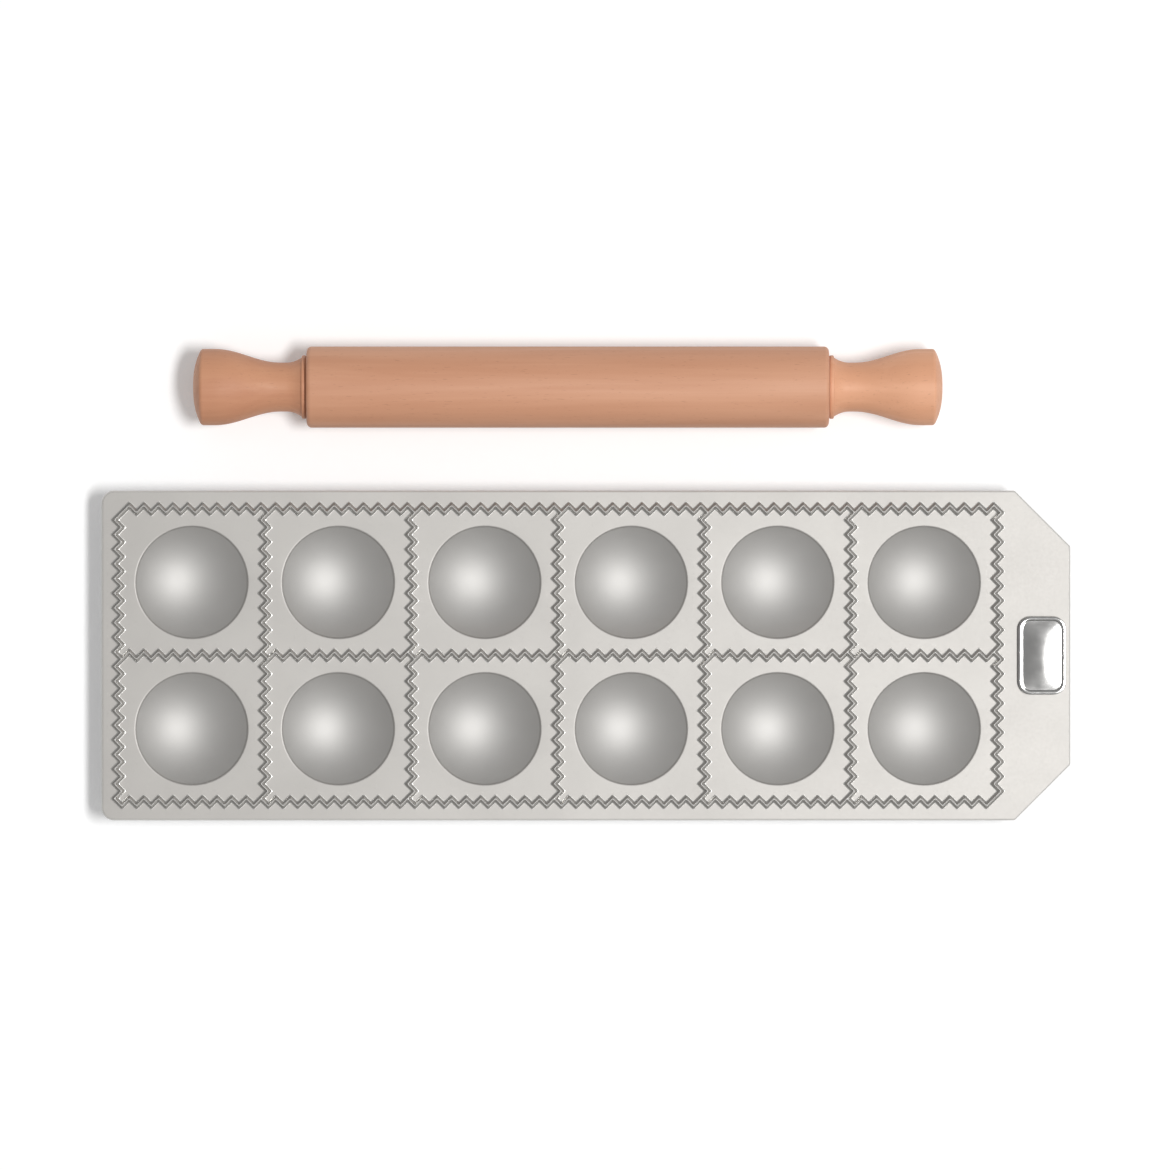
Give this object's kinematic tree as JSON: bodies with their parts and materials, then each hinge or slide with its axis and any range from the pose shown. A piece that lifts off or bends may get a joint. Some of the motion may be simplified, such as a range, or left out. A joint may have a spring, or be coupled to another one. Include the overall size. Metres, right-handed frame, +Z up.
{
  "type": "ravioli mould",
  "caption": "Cast aluminium ravioli tray with round bowls and toothed cutting ridges on a low steel base, with a small wooden rolling pin.",
  "frame": {"origin": "on the table, under the middle of the box round the tray and its rolling pin", "axes": "+X along the tray's length towards the tongue with the badge, +Y from the tray towards the rolling pin, +Z up"},
  "size_m": [0.3044, 0.149, 0.0255],
  "materials": {
    "cast_aluminium": "satin, fine cast grain",
    "chromed_steel": "polished chrome plate",
    "zinc_plated_steel": "dull zinc plate",
    "bright_steel": "drawn bright bar",
    "black_rubber": "matt moulded",
    "beech": "turned, sanded, unvarnished",
    "nylon": "moulded, natural colour"
  },
  "bodies": {
    "mould": {"mould_plate": "cast_aluminium", "base_frame": "chromed_steel", "badge": "chromed_steel", "badge_clip_front": "zinc_plated_steel", "badge_clip_back": "zinc_plated_steel", "foot_front_left": "black_rubber", "foot_front_right": "black_rubber", "foot_back_left": "black_rubber", "foot_back_right": "black_rubber", "screw_front_1": "zinc_plated_steel", "screw_front_2": "zinc_plated_steel", "screw_front_3": "zinc_plated_steel", "screw_back_1": "zinc_plated_steel", "screw_back_2": "zinc_plated_steel", "screw_back_3": "zinc_plated_steel"},
    "pin_core": {"pin_axle": "bright_steel", "pin_handle_left": "beech", "pin_handle_right": "beech"},
    "pin_roller": {"pin_barrel": "beech", "bush_left": "nylon", "bush_right": "nylon"}
  },
  "joints": [
    {"name": "pin_lift", "type": "slide", "parent": "mould", "child": "pin_core", "axis": [0, 0, 1], "range_m": [0, 0.06]},
    {"name": "barrel_spin", "type": "hinge", "parent": "pin_core", "child": "pin_roller", "pos_m": [-0.0057, 0.0617, 0.01275], "axis": [1, 0, 0], "continuous": true}
  ]
}
